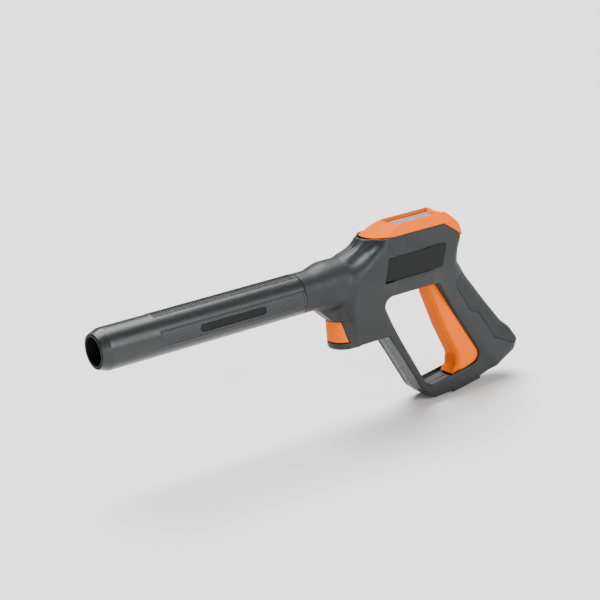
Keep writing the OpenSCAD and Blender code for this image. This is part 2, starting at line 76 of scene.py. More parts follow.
def polygon(x, z, points):
    """Distance to a closed outline in the XZ plane."""
    best = np.full(np.shape(x), 1e12, np.float32)
    inside = np.zeros(np.shape(x), bool)
    for (ax, az), (bx, bz) in zip(points, points[1:] + points[:1]):
        ex, ez = bx - ax, bz - az
        wx, wz = x - ax, z - az
        t = np.clip((wx * ex + wz * ez) / (ex * ex + ez * ez), 0, 1)
        best = np.minimum(best, (wx - ex * t) ** 2 + (wz - ez * t) ** 2)
        if ez:
            inside ^= ((z < az) != (z < bz)) & (wx < ex * wz / ez)
    return np.where(inside, -1, 1) * np.sqrt(best)


def meet(a, b, r):
    """What is inside both, with the edge between them rounded by radius r."""
    return np.minimum(-r, np.maximum(a, b)) + np.hypot(np.maximum(a + r, 0), np.maximum(b + r, 0))


def merge(a, b, r):
    """What is inside either, with the corner between them filled by radius r."""
    return np.maximum(r, np.minimum(a, b)) - np.hypot(np.maximum(r - a, 0), np.maximum(r - b, 0))


def carve(a, b, r):
    """What is inside a and outside b, with the edge between them rounded."""
    return meet(a, -b, r)


def box(x, y, z, low, high):
    """Distance to a box, exact enough near its faces."""
    return np.maximum.reduce([low[0] - x, x - high[0], low[1] - y, y - high[1], low[2] - z, z - high[2]])


def ease(v, low, high):
    """0 below low, 1 above high, and a smooth rise between."""
    t = np.clip((v - low) / (high - low), 0, 1)
    return t * t * (3 - 2 * t)


def soft_table(places, values, width):
    """A table of values at places whose corners are softened over a width."""
    fine = np.arange(places[0], places[-1], 0.5)
    raw = np.interp(fine, places, values)
    count = int(width / 0.5) | 1
    padded = np.pad(raw, count, mode="edge")
    kernel = np.ones(count) / count
    smooth = np.convolve(np.convolve(padded, kernel, "same"), kernel, "same")[count:-count]
    return fine.astype(np.float32), smooth.astype(np.float32)


# ---- surfaces from distances ------------------------------------------------

BLOCK = 6  # grid points along one side of a block
BATCH = 1500  # blocks worked out at a time
CORNERS = [(i, j, k) for i in (0, 1) for j in (0, 1) for k in (0, 1)]
EDGES = [(a, b) for a in range(8) for b in range(a + 1, 8)
         if sum(abs(p - q) for p, q in zip(CORNERS[a], CORNERS[b])) == 1]


def sample(field, low, high, step):
    """The field on a grid, worked out only in the blocks near its surface."""
    blocks = [int(math.ceil((b - a) / step / BLOCK)) + 1 for a, b in zip(low, high)]
    centre = [a + step * (np.arange(n) * BLOCK + (BLOCK - 1) / 2) for a, n in zip(low, blocks)]
    coarse = field(*[c.astype(np.float32) for c in np.meshgrid(*centre, indexing="ij")])
    values = coarse.astype(np.float32)
    for axis in range(3):
        values = np.repeat(values, BLOCK, axis)
    near = np.nonzero(np.abs(coarse) < BLOCK * step * 1.6)
    tiles = values.reshape(blocks[0], BLOCK, blocks[1], BLOCK, blocks[2], BLOCK).transpose(0, 2, 4, 1, 3, 5)
    inner = np.arange(BLOCK)
    for first in range(0, len(near[0]), BATCH):
        i, j, k = (n[first:first + BATCH] for n in near)
        shape = (len(i), BLOCK, BLOCK, BLOCK)
        x = low[0] + step * (i[:, None, None, None] * BLOCK + inner[None, :, None, None])
        y = low[1] + step * (j[:, None, None, None] * BLOCK + inner[None, None, :, None])
        z = low[2] + step * (k[:, None, None, None] * BLOCK + inner[None, None, None, :])
        tiles[i, j, k] = field(*[np.broadcast_to(c, shape).astype(np.float32) for c in (x, y, z)])
    return values


def net(field, low, high, step):
    """Points and quads of the field's zero surface: one point per crossed cell."""
    values = sample(field, low, high, step)
    inside = values < 0
    size = [n - 1 for n in values.shape]
    count = np.zeros(size, np.uint8)
    for i, j, k in CORNERS:
        count += inside[i:i + size[0], j:j + size[1], k:k + size[2]]
    active = (count > 0) & (count < 8)
    cells = np.stack(np.nonzero(active), 1)
    number = np.full(size, -1, np.int32)
    number[active] = np.arange(len(cells))
    at = [values[cells[:, 0] + i, cells[:, 1] + j, cells[:, 2] + k] for i, j, k in CORNERS]
    place = np.zeros((len(cells), 3))
    hits = np.zeros(len(cells))
    for a, b in EDGES:
        cross = (at[a] < 0) != (at[b] < 0)
        t = np.where(cross, at[a] / np.where(cross, at[a] - at[b], 1), 0)
        step_ab = np.subtract(CORNERS[b], CORNERS[a])
        place += np.where(cross[:, None], np.array(CORNERS[a]) + t[:, None] * step_ab, 0)
        hits += cross
    points = np.array(low) + step * (cells + place / hits[:, None])
    points = settle(field, points, step)
    quads = []
    for axis in range(3):
        u, v = (axis + 1) % 3, (axis + 2) % 3
        span = [slice(0, n) for n in size]
        span[u] = slice(1, size[u])
        span[v] = slice(1, size[v])
        ahead = list(span)
        ahead[axis] = slice(1, size[axis] + 1)
        here, there = inside[tuple(span)], inside[tuple(ahead)]
        where = np.stack(np.nonzero(here != there), 1)
        where[:, u] += 1
        where[:, v] += 1
        back_u, back_v = np.zeros(3, int), np.zeros(3, int)
        back_u[u] = back_v[v] = 1
        ring = [where - back_u - back_v, where - back_v, where, where - back_u]
        quad = np.stack([number[tuple(r.T)] for r in ring], 1)
        outward = inside[tuple(where.T)]
        quads.append(np.where(outward[:, None], quad, quad[:, ::-1]))
    return points, np.concatenate(quads)


def settle(field, points, step):
    """Moves the points onto the field's zero surface."""
    for _ in range(2):
        x, y, z = points.T
        value = field(x, y, z)
        h = 0.15 * step
        slope = np.stack([
            field(x + h, y, z) - field(x - h, y, z),
            field(x, y + h, z) - field(x, y - h, z),
            field(x, y, z + h) - field(x, y, z - h)], 1) / (2 * h)
        move = (value / np.maximum((slope ** 2).sum(1), 0.3))[:, None] * slope
        length = np.linalg.norm(move, axis=1, keepdims=True)
        points = points - move * np.minimum(1, 0.5 * step / np.maximum(length, 1e-9))
    return points


def add_object(name, data):
    """A new object in the scene."""
    made = bpy.data.objects.new(name, data)
    bpy.context.scene.collection.objects.link(made)
    return made


def mesh_object(name, points, faces):
    """An object from points in millimetres, shaded smooth."""
    mesh = bpy.data.meshes.new(name)
    mesh.from_pydata((np.asarray(points) * MM).tolist(), [], np.asarray(faces).tolist())
    mesh.validate()
    mesh.shade_smooth()
    return add_object(name, mesh)


STEP, FINE_STEP, FINEST_STEP = 0.75, 0.6, 0.5  # between points of a surface grid


def moulded(name, field, low, high, step=STEP):
    """An object whose surface is the field's zero surface."""
    return mesh_object(name, *net(field, low, high, step * COARSE))


def sandwich(name, outer, inner):
    """A closed piece between two grids of points, the outer one's rows along X then round."""
    rows, columns = outer.shape[:2]
    count = rows * columns
    index = np.arange(count).reshape(rows, columns)
    quads = np.stack([index[:-1, :-1], index[1:, :-1], index[1:, 1:], index[:-1, 1:]], -1).reshape(-1, 4)
    rim = np.concatenate([index[:-1, 0], index[-1, :-1], index[:0:-1, -1], index[0, :0:-1]])
    ahead = np.roll(rim, -1)
    walls = np.stack([ahead, rim, rim + count, ahead + count], 1)
    faces = np.concatenate([quads, quads[:, ::-1] + count, walls])
    return mesh_object(name, np.concatenate([outer.reshape(-1, 3), inner.reshape(-1, 3)]), faces)


def tube(name, outer, inner):
    """A closed tube between two grids whose first and last columns are the same line."""
    rows, columns = outer.shape[0], outer.shape[1] - 1
    count = rows * columns
    index = np.arange(count).reshape(rows, columns)
    beside = np.roll(index, -1, 1)
    quads = np.stack([index[:-1], index[1:], beside[1:], beside[:-1]], -1).reshape(-1, 4)
    ends = [np.stack([index[0], beside[0], beside[0] + count, index[0] + count], 1),
            np.stack([beside[-1], index[-1], index[-1] + count, beside[-1] + count], 1)]
    faces = np.concatenate([quads, quads[:, ::-1] + count, *ends])
    points = np.concatenate([outer[:, :-1].reshape(-1, 3), inner[:, :-1].reshape(-1, 3)])
    return mesh_object(name, points, faces)


# ---- the gun's form ---------------------------------------------------------

COVER_HALF = 22
COVER_TOP = 43.8
SADDLE = 40.6  # height of the dip behind the display's window
CREST = -318.6  # where the cover's top begins to slope down to its front
COVER_SLOPE = math.radians(13.3)
NOSE_START, NOSE_LENGTH = -312, 28  # of the cover's rounded front
COLLAR_R = 23.3
COLLAR_REAR = -300
BARREL_R = 19
BARREL_END = -207
HOSE_X = -257
BOSS_R = 16
BOSS_FOOT = -61.5
WALL = 2.4
RIM_X, RIM_Z, RIM_LEAN = -360, -29.1, 0.597  # the front rim of the handgrip
PIVOT = (-358, -9)  # of the trigger, along X and Z
HUB_R, HUB_HALF = 5.5, 11.8
PIN_HOLE_R = 2.6
TRIGGER_HALF, HOLLOW_HALF = 12, 9.7
PUSHER_R, PUSHER_HALF = 3, 4  # the trigger's nose, which pushes the stem
SLOT_HALF = 12.5  # of the slot that the trigger swings in
CHANNEL_HALF = 12.8  # of the channel in the loop's leg
LOOP_EDGE = 2.6  # rounding of the loop's inner edges
SPINE_HALF = 9.5  # of the ridges on the centre plane
SPLIT_GAP = 0.12  # half of the gap between the housing and its cover
PLATE_GAP = 0.2
HOSE_BORE_R, HOSE_BORE_TOP = 9.5, -45
SEAM = 34.5  # height where the cover's sides begin
SCREW_POST_R, SCREW_HEAD_R, SCREW_DEPTH = 3.8, 3.3, 6
INSERT_DEPTH, INSERT_GAP = 1.65, 0.05
WINDOW_TOP, WINDOW_FOOT = -33.8, -54.4
WINDOW_HALF, WINDOW_SPREAD = 12.7, 2.8  # at the top, and what it gains down to the foot
LIP_ROOT = -259  # where the lips beside the button begin
LIP_THICKNESS = 0.55
BUTTON_WALL = 2.2
# Each bore along the barrel's axis: where it starts and ends, and its radius.
BORES = ((-238, -200, 16.8), (-262, -237, 16), (-320, -230, 14.6))

# Outlines in the side view: the housing, the ridge under the cover's front, the ridge in front of
# the hose's boss, the finger loop, the slot behind the trigger and the rubber on the handgrip.
SHELL = outline([
    (-262, -61.5, 0), (-251, -19, 20), (-253, 0, 12), (-260, 12, 6), (-281.5, 25, 0),
    (-291, 30, 5), (-296, 36, 0), (-296, 47, 0), (-386.9, 47, 0), (-386.9, 17, 3),
    (-384.3, 7, 14), (-382.4, -5, 9), (-393, -20.5, 22), (-438, -80, 12), (-449, -90, 10),
    (-456.5, -102.5, 5), (-450, -113, 9), (-427, -123.2, 30), (-405, -129, 0),
    (-366, -134.8, 10), (-347, -136, 11), (-333, -124.5, 20), (-314.7, -91.3, 0),
    (-298, -61.5, 2)])
SPINE = outline([(-258, 8, 0), (-262, 21.9, 4), (-284, 33.7, 0), (-330, 40, 0), (-330, 8, 0)])
FAIRING = outline([(-219, -8, 0), (-223.5, -17, 3), (-241.5, -33.6, 3), (-257, -33.6, 0), (-257, -8, 0)])
LOOP = outline([(-409.4, -111.9, 9), (-341, -122.5, 10), (-288.3, -21, 8), (-354.9, -21, 6)], 6)
SLOT = outline([
    (-345, -125.6, 2), (-345, -100, 0), (-366, -60, 0), (-345, -24, 0), (-345, -14, 0),
    (-369, -14, 0), (-386, -40, 0), (-417, -96, 0), (-417, -114.6, 2)])
INSERT = outline([
    (-446, -104, 0), (-433, -97.5, 4), (-423, -93, 3), (-411.2, -72.3, 0), (-404.8, -62.3, 4),
    (-395.9, -59.3, 4), (-378.3, -31, 5), (-378.3, -24, 4), (-384, -19.2, 0), (-398, -10, 0),
    (-470, -78, 0), (-470, -104, 0)])
# The bevelled frame round a side plate, and the plate itself.
FRAME = outline([(-363, -9, 4), (-289, -9, 4), (-296, 19.5, 4), (-373, 19.5, 4)])
PLATE = outline([(-359.5, -5, 1.5), (-290.5, -5, 1.5), (-298, 16.5, 1.5), (-366, 16.5, 1.5)])
FRAME_INNER = 23.6  # half width at the foot of the bevel round a side plate
PLATE_FLOOR = 22.95
BEAD, BEAD_REACH = 0.4, 0.55  # height of the bead round a side plate, and how far it spreads
SCREWS = [
    (-290, 21.5), (-377, 13), (-288, -42), (-350, -130), (-396, -124.2), (-436, -104), (-399, -53)]

# The cover seen from the side, the trigger and the hollow in it.
COVER_SIDE = outline([
    (-283.7, 20, 0), (-283.7, 60, 0), (-374.8, 60, 0), (-374.8, 43.8, 2), (-380.2, 38, 4),
    (-385.9, 30, 6), (-388.3, 20.5, 0), (-388.3, 10, 0), (-340, 10, 0)])
TRIGGER = outline([
    (-412, -110.3, 4), (-374.3, -120.2, 0.8), (-373.5, -119.3, 0.6), (-379.2, -111.5, 5),
    (-379.2, -102, 12), (-365.5, -71.3, 0), (-353.1, -36, 0), (-347.5, -15, 0), (-352, -5, 3),
    (-364, -5, 3), (-367, -16, 0), (-374, -38, 0), (-397, -80, 0), (-412, -98, 0)])
TRIGGER_HOLLOW = outline([
    (-440, -101.5, 0), (-405, -109.2, 0), (-384, -114.2, 0), (-382.4, -103, 8), (-368, -71, 0),
    (-355.6, -36, 0), (-351, -15, 0), (-362, -12, 0), (-380, 0, 0)])

# Half widths and edge roundings against height, and the collar's radius against X.
BODY_HALF = soft_table(
    [-150, -66, -50, -21, -5, 5, 20, 36, 60], [14.5, 14.5, 16, 22, 24.8, 25, 23.7, 22, 20], 9)
GRIP_HALVES = soft_table([-150, -55, -21, -6, 60], [16.5, 16.5, 20, 22, 22], 12)
COLLAR = soft_table([-320, -237, -222, -200], [COLLAR_R, COLLAR_R, BARREL_R, BARREL_R], 3)
REAR_EDGE = soft_table(
    [-150, -116, -104, -92, -25, -12, 8, 17, 24, 60], [4, 5, 9, 12, 12.5, 10, 8.5, 6, 5, 5], 5)
FRONT_EDGE = soft_table([-150, -62, -45, -25, 0, 20, 36, 60], [2.5, 2.5, 3, 5, 8.5, 8, 5, 5], 8)
# The line between the housing and its cover, in the side view.
SPLIT_X = [-400, -385.5, -366, -330, -307, -295, -284, -200]
SPLIT_Z = [10, 20.5, 34.7, 34.6, 34.4, 34.8, 35.4, 35.6]
SPLIT_COSINE = 0.82  # of the line's steepest slope


def behind_rim(x, z):
    """How far a point lies behind the front rim of the handgrip, which leans back."""
    return RIM_X - RIM_LEAN * (RIM_Z - z) - x


def half_width(x, z):
    """Half of the housing's width at a place in its side view."""
    body = np.interp(z, *BODY_HALF)
    grip = np.interp(z, *GRIP_HALVES)
    in_frame = np.maximum(-polygon(x, z, FRAME), 0)
    beside = polygon(x, z, PLATE)
    share = in_frame / np.maximum(in_frame + np.maximum(beside, 0), 1e-6)
    bead = BEAD * np.exp(-((beside - 1) / BEAD_REACH) ** 2)
    body = body - share * np.maximum(body - FRAME_INNER, 0) + bead
    return body + (grip - body) * ease(behind_rim(x, z), -4, 12)


def edge_radius(x, z):
    """Rounding radius of the housing's outer edges."""
    plain = 2.8
    rear = ease(behind_rim(x, z), 6, 22) * (np.interp(z, *REAR_EDGE) - plain)
    front = ease(x, -312, -296) * (np.interp(z, *FRONT_EDGE) - plain)
    return plain + rear + front


def cover_plan(x, ay):
    """Distance to the cover's rounded front, seen from above."""
    nose = (np.hypot((x - NOSE_START) / NOSE_LENGTH, ay / COVER_HALF) - 1) * COVER_HALF
    return np.where(x > NOSE_START, nose, ay - COVER_HALF)


def guard_channel(x, ay, z, side):
    """The shallow channel along the front of the loop's leg, which fades out at both ends."""
    depth = (0.5 + 0.06 * ay) * ease(z, -133, -121) * ease(-z, 63, 66)
    return np.maximum.reduce([ay - CHANNEL_HALF, -side - depth, x + 280, -350 - x, z + 62])


def outer_form(x, y, z):
    """The closed housing without its recesses."""
    ay = np.abs(y)
    side = polygon(x, z, SHELL)
    form = meet(side, ay - half_width(x, z), edge_radius(x, z))
    around = np.hypot(ay, z) - np.interp(x, *COLLAR)
    collar = meet(around, np.maximum(x - BARREL_END + 0.2, COLLAR_REAR - x), 0.7)
    spine = meet(polygon(x, z, SPINE), ay - SPINE_HALF, 3)
    boss = meet(np.hypot(x - HOSE_X, ay) - BOSS_R, np.maximum(BOSS_FOOT - z, z + 5), 2.5)
    fairing = meet(polygon(x, z, FAIRING), ay - SPINE_HALF, 2.5)
    fading = 7 * ease(-x, 294, 312)
    plinth = cover_plan(x, ay) - 0.3 * (SEAM - z) + fading
    plinth = np.maximum.reduce([plinth, z - 36, 20 - z, -320 - x])
    form = merge(form, plinth, 4)
    form = merge(form, collar, 6)
    form = merge(form, spine, 7)
    form = merge(form, merge(boss, fairing, 1.5), 2.5)
    form = carve(form, guard_channel(x, ay, z, side), 0.3)
    return carve(form, polygon(x, z, LOOP), LOOP_EDGE)


def above_split(x, z):
    """How far a point lies above the line between the housing and its cover."""
    return (z - np.interp(x, SPLIT_X, SPLIT_Z)) * SPLIT_COSINE


def window_half(z):
    """Half width of the release button's window, seen along X."""
    return WINDOW_HALF + (WINDOW_TOP - z) * WINDOW_SPREAD / (WINDOW_TOP - WINDOW_FOOT)


def window_edge(z):
    """Where the window's side edge meets the boss, along X."""
    return HOSE_X + np.sqrt(BOSS_R ** 2 - window_half(z) ** 2)


def button_lip(name, side):
    """The thin edge of the boss that leads up to one side of the button."""
    halvings = 16
    z = np.linspace(WINDOW_FOOT - 0.6, WINDOW_TOP + 0.6, 22)
    end = window_edge(np.clip(z, WINDOW_FOOT, WINDOW_TOP)) + 0.1
    x = LIP_ROOT - 0.3 + np.linspace(0, 1, 24)[:, None] * (end - LIP_ROOT + 0.3)
    z = np.broadcast_to(z, x.shape)
    low, high = np.full(x.shape, 9.0), np.full(x.shape, 20.0)
    for _ in range(halvings):
        y = (low + high) / 2
        inside = outer_form(x, y, z) < 0
        low, high = np.where(inside, y, low), np.where(inside, high, y)
    outer = np.stack([x, side * low, z], -1)
    inner = np.stack([x, side * (low - LIP_THICKNESS), z], -1)
    return sandwich(name, *((outer, inner) if side < 0 else (inner, outer)))


def housing(side):
    """Field of one half of the housing; the right half, side -1, takes the screws' heads."""
    def field(x, y, z):
        ay = np.abs(y)
        outside = outer_form(x, y, z)
        solid = carve(outside, np.maximum(polygon(x, z, INSERT) + INSERT_GAP, -outside - INSERT_DEPTH), 0.45)
        solid = meet(solid, above_split(x, z) + SPLIT_GAP, 0.5)
        flared = polygon(x, z, PLATE) - PLATE_GAP - 0.35 * (ay - PLATE_FLOOR)
        pocket = np.maximum(flared, PLATE_FLOOR - ay)
        solid = carve(solid, pocket * 0.94, 0.3)
        slit = np.maximum.reduce([ay - 0.45, -outside - 1.2, -284 - x, x + 273.7])
        solid = np.maximum(solid, -slit)
        thicker = 1.7 * ease(behind_rim(x, z), 14, 20) * ease(-z, 15, 25)
        inner = outside + WALL + thicker
        to_screw = np.minimum.reduce([np.hypot(x - px, z - pz) for px, pz in SCREWS])
        to_pivot = np.hypot(x - PIVOT[0], z - PIVOT[1])
        posts = to_screw - SCREW_POST_R
        hub = np.maximum(to_pivot - HUB_R, 12.4 - ay)
        inner = np.maximum(inner, np.minimum(-58 - z, -behind_rim(x, z)))
        solid = np.maximum(solid, -np.maximum(inner, -np.minimum(posts, hub)))
        slot = np.maximum(polygon(x, z, SLOT), ay - SLOT_HALF)
        solid = carve(solid, slot, 0.6)
        to_axis = np.hypot(ay, z)
        for low, high, r in BORES:
            solid = np.maximum(solid, -np.maximum.reduce([to_axis - r, low - x, x - high]))
        hose_bore = np.maximum(np.hypot(x - HOSE_X, ay) - HOSE_BORE_R, z - HOSE_BORE_TOP)
        solid = np.maximum(solid, -hose_bore)
        opening = np.maximum.reduce([
            ay - 17, z - WINDOW_TOP - 0.15, WINDOW_FOOT - 0.15 - z, LIP_ROOT - x])
        solid = np.maximum(solid, -opening)
        pin = np.maximum(to_pivot - PIN_HOLE_R, ay - 19)
        solid = np.maximum(solid, -pin)
        if side < 0:
            solid = carve(solid, np.maximum(to_screw - SCREW_HEAD_R, SCREW_DEPTH - ay), 0.4)
        return meet(solid, 0.1 - side * y, 0.35)
    return field


def cover_form(x, y, z):
    """The orange cover on top, with its display window."""
    ay = np.abs(y)
    rise = (x - CREST) * math.sin(COVER_SLOPE) + (z - COVER_TOP) * math.cos(COVER_SLOPE)
    crown = rise + ease(x, CREST, -300) * ay ** 2 / 90
    top = meet(z - COVER_TOP, crown, 1.5)
    side = polygon(x, z, COVER_SIDE)
    plan = cover_plan(x, ay)
    slanted = 0.742 * plan + 0.67 * (z - SEAM)
    flank = meet(slanted, np.where(z > 34, plan, ay - half_width(x, z)), 1)
    solid = meet(meet(top, side, 2.5), flank, 1.3 + 3.2 * ease(-x, 372, 380))
    opening = box(x, y, z, (-371, -12.8, 39.75), (-317, 12.8, 60))
    saddle = np.maximum.reduce([(ay - 9.5 - (z - SADDLE)) * 0.71, SADDLE - z, x + 369])
    solid = carve(solid, np.minimum(opening, saddle), 0.7)
    lens_bay = box(x, y, z, (-369.8, -13.8, 20), (-318, 13.8, 39.8))
    solid = np.maximum(solid, -lens_bay)
    return meet(solid, SPLIT_GAP - above_split(x, z), 0.5)


def trigger_form(x, y, z):
    """The trigger, hollow at the back, with its hub and the nose that pushes the stem."""
    ay = np.abs(y)
    narrow = 2.6 * ease(-z, 106, 114) * ease(x, -385, -378)
    edge = 1.3 + 6.2 * ease(z, -117, -102)
    bow = meet(polygon(x, z, TRIGGER), ay - TRIGGER_HALF + narrow, edge)
    hollow = np.maximum(polygon(x, z, TRIGGER_HOLLOW), ay - HOLLOW_HALF + narrow)
    bow = np.maximum(bow, -hollow)
    around = np.hypot(x - PIVOT[0], z - PIVOT[1])
    hub = np.maximum(around - HUB_R, ay - HUB_HALF)
    nose = np.maximum(np.hypot(x - PIVOT[0], z) - PUSHER_R, ay - PUSHER_HALF)
    arm = box(x, y, z, (PIVOT[0] - PUSHER_R, -PUSHER_HALF, PIVOT[1]),
              (PIVOT[0] + PUSHER_R, PUSHER_HALF, 0))
    solid = np.minimum.reduce([bow, hub, nose, arm])
    return np.maximum(solid, PIN_HOLE_R - around)


def button_form(x, y, z):
    """The release button: a piece of the boss's wall."""
    around = np.hypot(x - HOSE_X, y)
    gap = 0.45
    face = np.maximum.reduce([
        np.abs(y) - window_half(z) + gap, z - WINDOW_TOP + gap, WINDOW_FOOT + gap - z])
    skin = meet(around - BOSS_R, face, 0.6)
    return np.maximum.reduce([skin, BOSS_R - BUTTON_WALL - around, window_edge(z) + 0.5 - x])


def insert_form(x, y, z):
    """The rubber on the back of the handgrip."""
    outside = outer_form(x, y, z)
    shell = np.maximum(outside, -outside - 1.6)
    return meet(shell, polygon(x, z, INSERT) + INSERT_GAP, 0.45)


# ---- the barrel's trim ------------------------------------------------------

PANEL_FRONT, PANEL_REAR = -57, -204.5
PANEL_HALF = 6.5
PANEL_FLOOR = 17.3
INLAY_HALF = 4
INLAY_ENDS = (-160, -99)
RIB_CELLS = 5  # grid cells across one rib, and across the groove beside it
RIB_CELL = 0.3
RIB_HEIGHT = 0.6
PANEL_SEAT = 18.3  # radius of the panels at the grooves
PANEL_RIM, PANEL_MEAN_R = 18.75, 18.8
PANEL_GAP = 0.2  # between a panel and its recess
SOCKET_STEP, SOCKET_R, SOCKET_REAR_R = -63, 15.2, 15.6
# Distances from a recess's edge where the sleeve has a row of points.
EDGE_STEPS = (-0.3, -0.18, -0.05, 0.1, 0.25, 0.45, 0.65, 0.85, 1.1, 1.4)
BEVEL = soft_table([-220, -9, -0.9, -0.4], [BARREL_R, BARREL_R, 16.1, 15.6], 1.5)


def panel_step(d):
    """Radius added by a recess and the bead round it, at a distance d outside its edge."""
    wall = (PANEL_FLOOR - BARREL_R) * (1 - ease(d, -0.25, 0.05))
    fall = -0.12 * (1 - ease(d, 0, 0.35)) * (d > -0.2)
    bead = 0.22 * np.exp(-((d - 0.75) / 0.3) ** 2)
    return wall + fall + bead


def barrel_profile(x):
    """The sleeve's outer radius, with its rounded bevel at the muzzle."""
    return np.interp(x, *BEVEL)


def sleeve_rows(half_turn):
    """The sleeve's places along X and turns about X, closer together at the recesses' edges."""
    turns = set(np.round(np.linspace(-math.pi, math.pi, 121), 5))
    for centre in (-math.pi, 0, math.pi / 2, math.pi):
        for d in EDGE_STEPS:
            for s in (-1, 1):
                turns.add(round(centre + s * (half_turn + d / BARREL_R), 5))
    turns = np.array(sorted(t for t in turns if -math.pi <= t <= math.pi))
    stations = set(np.round(np.linspace(BARREL_END, -12, 66), 3))
    stations |= set(np.round(np.linspace(-11, -0.4, 22), 3))
    for d in EDGE_STEPS:
        stations |= {round(PANEL_FRONT + d, 3), round(PANEL_REAR - d, 3)}
    return np.array(sorted(stations)), turns


def make_sleeve():
    """The barrel's sleeve, with recesses for the strip on top and the side panels."""
    half_turn = math.asin(PANEL_HALF / BARREL_R)
    x, turn = np.meshgrid(*sleeve_rows(half_turn), indexing="ij")
    across = np.minimum.reduce([np.abs((turn - c + math.pi) % (2 * math.pi) - math.pi)
                                for c in (0, math.pi / 2, math.pi)])
    d = np.maximum.reduce([(across - half_turn) * BARREL_R, x - PANEL_FRONT, PANEL_REAR - x])
    r = barrel_profile(x) + panel_step(d)
    outer = np.stack([x, r * np.cos(turn), r * np.sin(turn)], -1)
    bore = np.where(x > SOCKET_STEP, SOCKET_R, SOCKET_REAR_R)
    inner = np.stack([x, bore * np.cos(turn), bore * np.sin(turn)], -1)
    return tube("barrel_sleeve_shell", outer, inner)


def make_ribbed_panel(name, side):
    """A side panel with diagonal ribs round a smooth oblong well."""
    half = PANEL_HALF - PANEL_GAP
    x = np.arange(PANEL_REAR + 0.25, PANEL_FRONT - PANEL_GAP, RIB_CELL)
    across = np.arange(-half, half + 0.01, RIB_CELL)
    x, across = np.meshgrid(x, across, indexing="ij")
    rows, columns = np.indices(x.shape)
    near_x = np.clip(x, *INLAY_ENDS)
    away = np.hypot(x - near_x, across)
    edge = np.abs(away - INLAY_HALF) < RIB_CELL / 2
    pull = np.where(edge, INLAY_HALF / np.maximum(away, 1e-6), 1)
    x = near_x + (x - near_x) * pull
    across = across * pull
    relief = RIB_HEIGHT * np.where((rows + columns) % (2 * RIB_CELLS) < RIB_CELLS, 1, 0)
    d = np.maximum.reduce([
        np.abs(across) - half, x - PANEL_FRONT + PANEL_GAP, PANEL_REAR + PANEL_GAP - x, INLAY_HALF - away])
    ribbed = np.where(d > -0.5, PANEL_RIM, PANEL_SEAT + relief)
    r = np.where(away < INLAY_HALF - RIB_CELL / 2, PANEL_FLOOR + 0.05, ribbed)
    turn = across / PANEL_MEAN_R
    outer = np.stack([x, side * r * np.cos(turn), r * np.sin(turn)], -1)
    inner = np.stack([x, side * PANEL_FLOOR * np.cos(turn), PANEL_FLOOR * np.sin(turn)], -1)
    made = sandwich(name, *((outer, inner) if side < 0 else (inner, outer)))
    made.data.shade_flat()
    return made


# ---- materials --------------------------------------------------------------

def link(tree, a, out, b, into):
    """Links one node's output to another node's input, both by name."""
    tree.links.new(a.outputs[out], b.inputs[into])


def noise(tree, coords, scale, detail):
    """A noise fixed to the object."""
    node = tree.nodes.new("ShaderNodeTexNoise")
    node.inputs["Scale"].default_value = scale
    node.inputs["Detail"].default_value = detail
    node.inputs["Roughness"].default_value = 0.6
    link(tree, coords, "Object", node, "Vector")
    return node


def spread(tree, source, low, high):
    """Maps a noise's middle range to the range from low to high."""
    node = tree.nodes.new("ShaderNodeMapRange")
    node.inputs["From Min"].default_value = 0.3
    node.inputs["From Max"].default_value = 0.7
    node.inputs["To Min"].default_value = low
    node.inputs["To Max"].default_value = high
    link(tree, source, "Fac", node, "Value")
    return node


GRAIN_DEPTH = 0.00003
MIX_LOW, MIX_HIGH, MIX_RESULT = 6, 7, 2  # sockets of a colour mix


def material(name, colour, roughness, grain, bump, metallic=0.0, shade=0.12, gloss_spread=0.06,
             specular=0.5):
    """A plastic, rubber or metal: fine grain, uneven sheen and slight shifts of shade."""
    made = bpy.data.materials.new(name)
    made.use_nodes = True
    tree = made.node_tree
    shader = tree.nodes["Principled BSDF"]
    coords = tree.nodes.new("ShaderNodeTexCoord")
    broad = noise(tree, coords, 35, 4)
    mix = tree.nodes.new("ShaderNodeMix")
    mix.data_type = "RGBA"
    mix.inputs[MIX_LOW].default_value = (*[c * (1 - shade) for c in colour], 1)
    mix.inputs[MIX_HIGH].default_value = (*[min(1, c * (1 + shade)) for c in colour], 1)
    tree.links.new(broad.outputs["Fac"], mix.inputs[0])
    tree.links.new(mix.outputs[MIX_RESULT], shader.inputs["Base Color"])
    sheen = spread(tree, noise(tree, coords, 220, 4), roughness - gloss_spread, roughness + gloss_spread)
    link(tree, sheen, "Result", shader, "Roughness")
    fine = noise(tree, coords, grain, 2)
    bumps = tree.nodes.new("ShaderNodeBump")
    bumps.inputs["Strength"].default_value = bump
    bumps.inputs["Distance"].default_value = GRAIN_DEPTH
    link(tree, fine, "Fac", bumps, "Height")
    link(tree, bumps, "Normal", shader, "Normal")
    shader.inputs["Metallic"].default_value = metallic
    shader.inputs["Specular IOR Level"].default_value = specular
    return made


